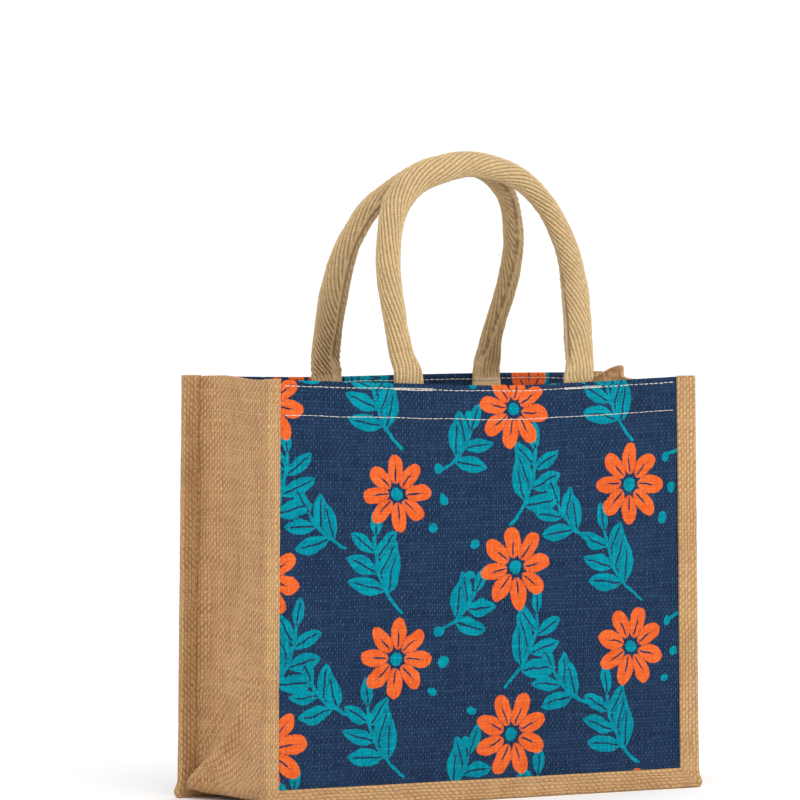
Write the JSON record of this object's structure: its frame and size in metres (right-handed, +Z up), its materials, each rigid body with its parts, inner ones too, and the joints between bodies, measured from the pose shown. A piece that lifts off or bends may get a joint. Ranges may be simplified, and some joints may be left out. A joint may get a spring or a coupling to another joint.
{
  "type": "burlap shopping bag",
  "caption": "Standing burlap shopping bag with printed front and back panels, a plain gusset, bound seams and padded rope handles.",
  "frame": {"origin": "on the surface the bag stands on, under the middle of the bag", "axes": "+Z up, the front panel faces -Y, +X to the right seen from the front"},
  "size_m": [0.369, 0.1357, 0.4637],
  "materials": {
    "printed_jute": "navy plain-weave jute, printed in teal and orange, matt",
    "plain_jute": "natural plain-weave jute, matt",
    "jute_tape": "natural jute binding tape, matt",
    "handle_webbing": "khaki twill webbing over a rope core, matt"
  },
  "bodies": {
    "root": {"front_panel": "printed_jute", "back_panel": "printed_jute", "gusset": "plain_jute", "front_binding": "jute_tape", "back_binding": "jute_tape", "handle_front": "handle_webbing", "handle_back": "handle_webbing"}
  },
  "joints": []
}
